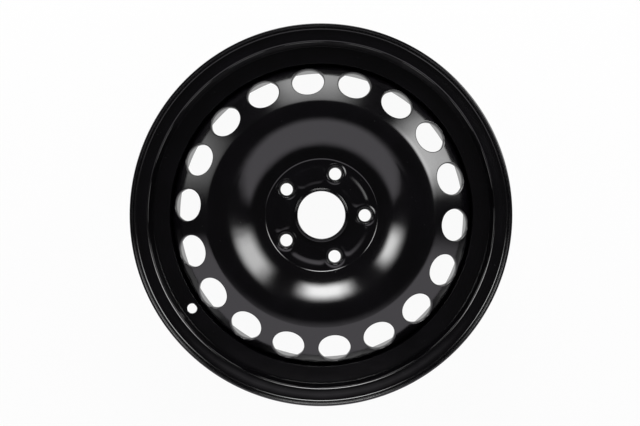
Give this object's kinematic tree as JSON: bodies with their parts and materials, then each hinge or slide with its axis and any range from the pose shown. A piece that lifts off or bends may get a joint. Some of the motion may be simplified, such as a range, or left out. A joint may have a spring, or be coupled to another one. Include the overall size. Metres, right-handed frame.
{
  "type": "pressed steel car wheel",
  "caption": "Black pressed steel car wheel: a dished disc with a ring of oval vents, welded inside a drop-centre rim with a valve hole.",
  "frame": {"origin": "on the wheel's axis, in the plane of the inboard flange's edge that the wheel lies on", "axes": "+Z along the axis towards the street side, +X through the first bolt hole, 0.4 degrees off"},
  "size_m": [0.4712, 0.4712, 0.204],
  "materials": {
    "rim_paint": "gloss black coating",
    "disc_paint": "gloss black coating",
    "weld_paint": "gloss black coating over weld metal"
  },
  "bodies": {
    "root": {"rim": "rim_paint", "disc": "disc_paint", "weld_bead_1": "weld_paint", "weld_bead_2": "weld_paint", "weld_bead_3": "weld_paint", "weld_bead_4": "weld_paint", "weld_bead_5": "weld_paint", "weld_bead_6": "weld_paint", "weld_bead_7": "weld_paint", "weld_bead_8": "weld_paint"}
  },
  "joints": []
}
